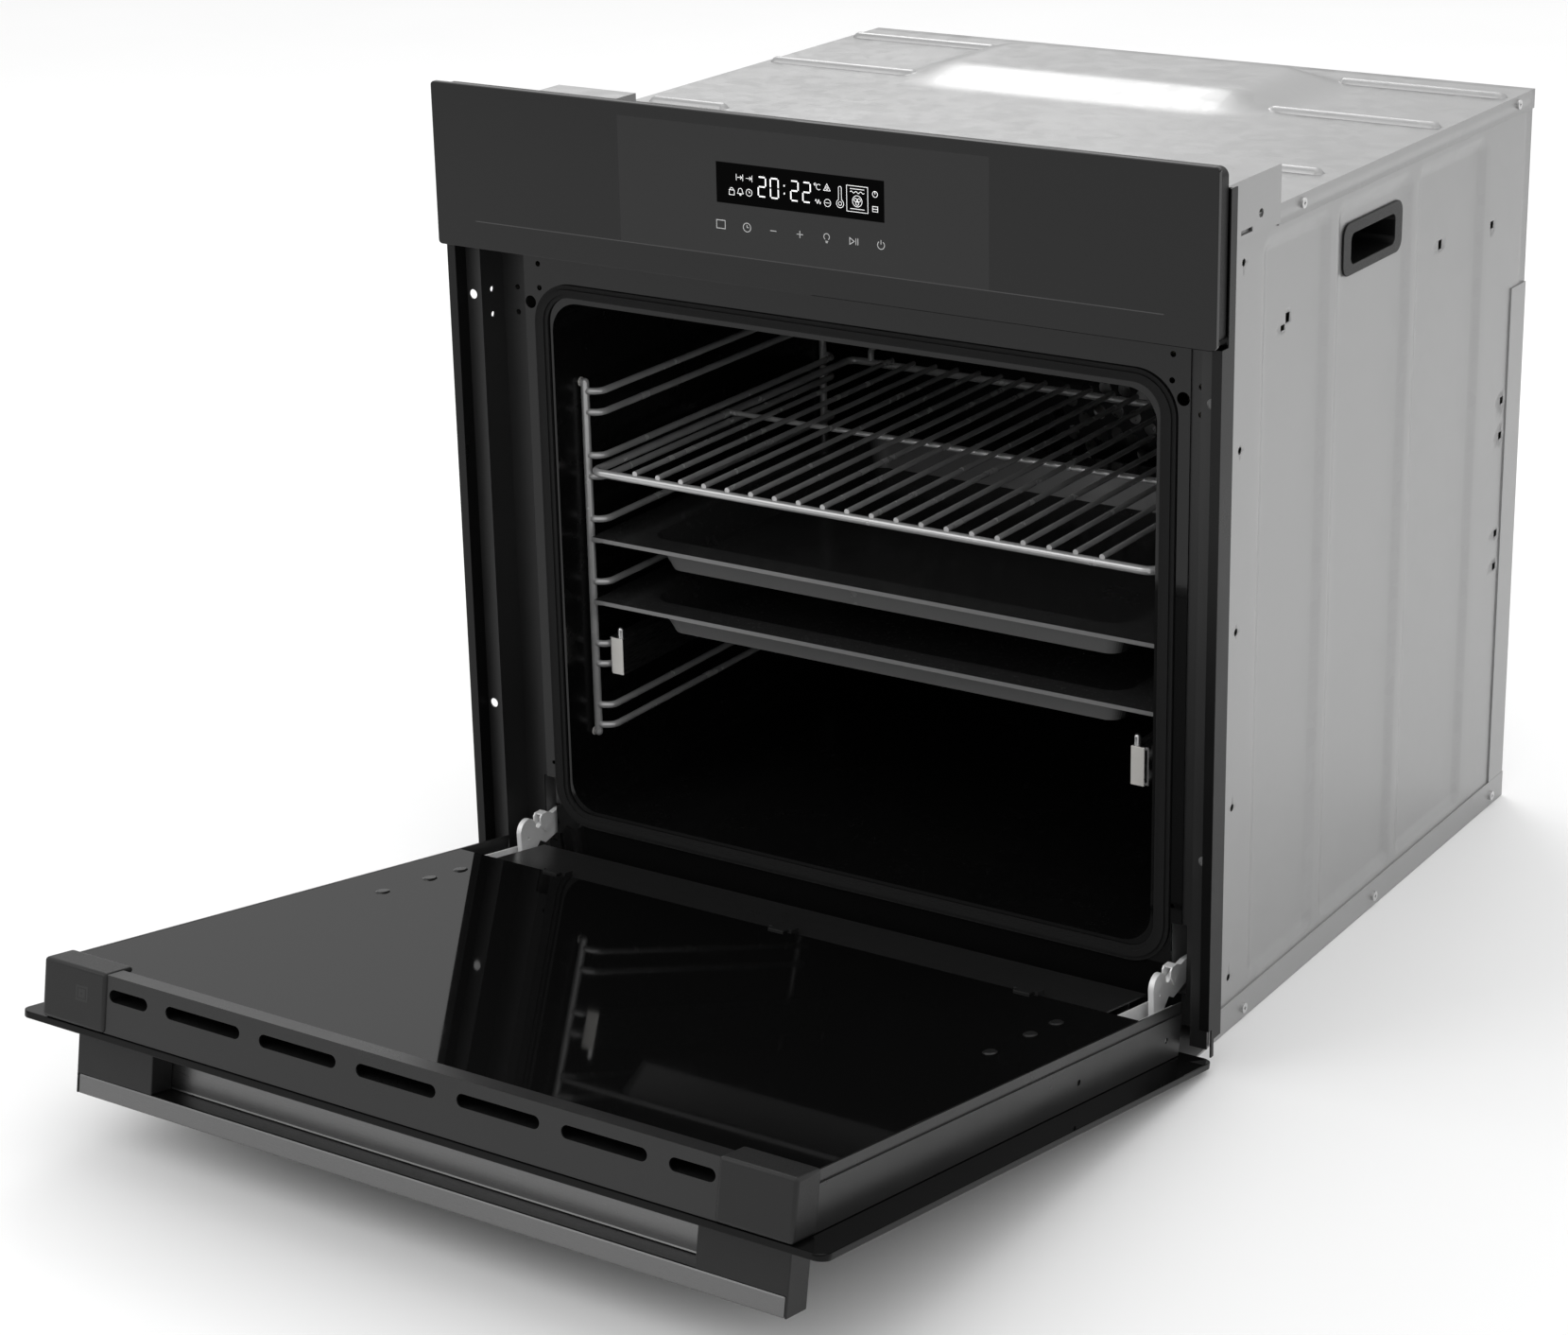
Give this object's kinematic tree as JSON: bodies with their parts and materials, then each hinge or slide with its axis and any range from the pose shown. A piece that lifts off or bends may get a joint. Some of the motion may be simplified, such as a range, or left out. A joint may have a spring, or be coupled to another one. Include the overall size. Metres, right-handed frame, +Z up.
{
  "type": "built-in oven",
  "caption": "Built-in electric oven with a drop-down glass door, touch control panel, side racks, wire shelf, baking trays, telescopic rails and a full-width pocket handle.",
  "frame": {"origin": "middle of the casing underside, in the plane of the cabinet front", "axes": "+Z up, -Y out of the front, +X to the right seen from the front"},
  "size_m": [0.595, 1.0037, 0.6],
  "materials": {
    "zinc_steel": "matt zinc-coated sheet",
    "screw_steel": "bright zinc",
    "flange_steel": "satin dark grey",
    "trim_black": "satin black anodised",
    "front_enamel": "glossy black enamel",
    "cavity_enamel": "speckled black enamel",
    "tray_enamel": "glossy speckled enamel",
    "panel_glass": "glossy black printed glass",
    "door_glass": "glossy dark tinted glass",
    "middle_glass": "clear coated glass",
    "display": "black display module",
    "board": "green circuit board",
    "backing_plastic": "fine-textured black plastic",
    "door_plastic": "fine-textured dark grey plastic",
    "grip_plastic": "black plastic",
    "door_metal": "satin dark grey sheet",
    "handle_metal": "satin anodised",
    "hinge_steel": "bright zinc-plated stampings",
    "spring_steel": "oiled spring steel",
    "gasket": "woven and moulded door seal",
    "wool": "mineral wool",
    "fan_steel": "stainless fan wheel",
    "fan_plastic": "light plastic blower wheel",
    "motor_metal": "laminated motor",
    "element": "oxidised heating tube",
    "lamp_glass": "lamp lens",
    "chrome_wire": "polished chromed wire",
    "bush": "glazed bush",
    "terminal": "light plastic",
    "rail_steel": "satin stainless rails"
  },
  "bodies": {
    "casing": {"base_pan": "zinc_steel", "side_panel_left": "zinc_steel", "side_panel_right": "zinc_steel", "top_cover": "zinc_steel", "rear_panel": "zinc_steel", "front_plate": "front_enamel", "mounting_flange_left": "flange_steel", "mounting_flange_right": "flange_steel", "edge_trim_left": "trim_black", "edge_trim_right": "trim_black", "control_brackets": "zinc_steel", "panel_backing": "backing_plastic", "panel_glass": "panel_glass", "control_board": "board", "display_module": "display", "cavity_shell": "cavity_enamel", "insulation": "wool", "door_gasket": "gasket", "fan_baffle": "cavity_enamel", "fan_motor": "motor_metal", "ring_element": "element", "grill_element": "element", "bottom_element": "element", "cavity_lamp": "lamp_glass", "side_rack_left": "chrome_wire", "side_rack_right": "chrome_wire", "rack_bushes": "bush", "cooling_duct": "zinc_steel", "cooling_motor": "motor_metal", "terminal_block": "terminal", "carry_grips": "grip_plastic", "hinge_receivers": "zinc_steel", "case_screws": "screw_steel", "hinge_arm_left": "hinge_steel", "hinge_arm_right": "hinge_steel", "rails_fixed": "rail_steel"},
    "door": {"door_outer_glass": "door_glass", "door_middle_glass": "middle_glass", "door_inner_glass": "door_glass", "door_side_profile_left": "door_metal", "door_side_profile_right": "door_metal", "door_top_trim": "door_metal", "door_bottom_profile": "door_metal", "corner_caps": "door_plastic", "hinge_bodies": "hinge_steel", "hinge_springs": "spring_steel", "handle_bar": "handle_metal", "handle_blocks": "door_plastic"},
    "convection_fan": {"convection_fan": "fan_steel"},
    "cooling_fan": {"cooling_fan": "fan_plastic"},
    "lock_lever_left": {"hinge_lever_left": "hinge_steel"},
    "lock_lever_right": {"hinge_lever_right": "hinge_steel"},
    "wire_shelf": {"wire_shelf": "chrome_wire"},
    "tray_upper": {"tray_upper": "tray_enamel"},
    "tray_lower": {"tray_lower": "tray_enamel"},
    "rail_mid_left": {"rail_mid_left": "rail_steel"},
    "rail_mid_right": {"rail_mid_right": "rail_steel"},
    "rail_outer_left": {"rail_outer_left": "rail_steel"},
    "rail_outer_right": {"rail_outer_right": "rail_steel"}
  },
  "joints": [
    {"name": "door_hinge", "type": "hinge", "parent": "casing", "child": "door", "pos_m": [0, -0.016, 0.014], "axis": [-1, 0, 0], "range_deg": [-10.5, 79.5]},
    {"name": "wire_shelf_slide", "type": "slide", "parent": "casing", "child": "wire_shelf", "axis": [0, 1, 0], "range_m": [-0.3, 0]},
    {"name": "tray_upper_slide", "type": "slide", "parent": "casing", "child": "tray_upper", "axis": [0, 1, 0], "range_m": [-0.3, 0]},
    {"name": "tray_lower_slide", "type": "slide", "parent": "casing", "child": "tray_lower", "axis": [0, 1, 0], "range_m": [-0.3, 0]},
    {"name": "rail_left_pull", "type": "slide", "parent": "casing", "child": "rail_outer_left", "axis": [0, 1, 0], "range_m": [-0.3, 0]},
    {"name": "rail_left_middle", "type": "slide", "parent": "casing", "child": "rail_mid_left", "axis": [0, 1, 0], "range_m": [-0.15, 0]},
    {"name": "rail_right_pull", "type": "slide", "parent": "casing", "child": "rail_outer_right", "axis": [0, 1, 0], "range_m": [-0.3, 0]},
    {"name": "rail_right_middle", "type": "slide", "parent": "casing", "child": "rail_mid_right", "axis": [0, 1, 0], "range_m": [-0.15, 0]},
    {"name": "convection_fan_spin", "type": "hinge", "parent": "casing", "child": "convection_fan", "pos_m": [0, 0.43, 0.254], "axis": [0, 1, 0], "continuous": true},
    {"name": "cooling_fan_spin", "type": "hinge", "parent": "casing", "child": "cooling_fan", "pos_m": [0, 0.42, 0.52], "axis": [0, 0, 1], "continuous": true},
    {"name": "lock_lever_left_flip", "type": "hinge", "parent": "casing", "child": "lock_lever_left", "pos_m": [-0.257, 0.009, 0.049], "axis": [-1, 0, 0], "range_deg": [-42, 0]},
    {"name": "lock_lever_right_flip", "type": "hinge", "parent": "casing", "child": "lock_lever_right", "pos_m": [0.257, 0.009, 0.049], "axis": [-1, 0, 0], "range_deg": [-42, 0]}
  ],
  "couplings": [
    {"joint": "rail_left_middle", "follows": "rail_left_pull", "ratio": 0.5},
    {"joint": "rail_right_middle", "follows": "rail_right_pull", "ratio": 0.5}
  ]
}
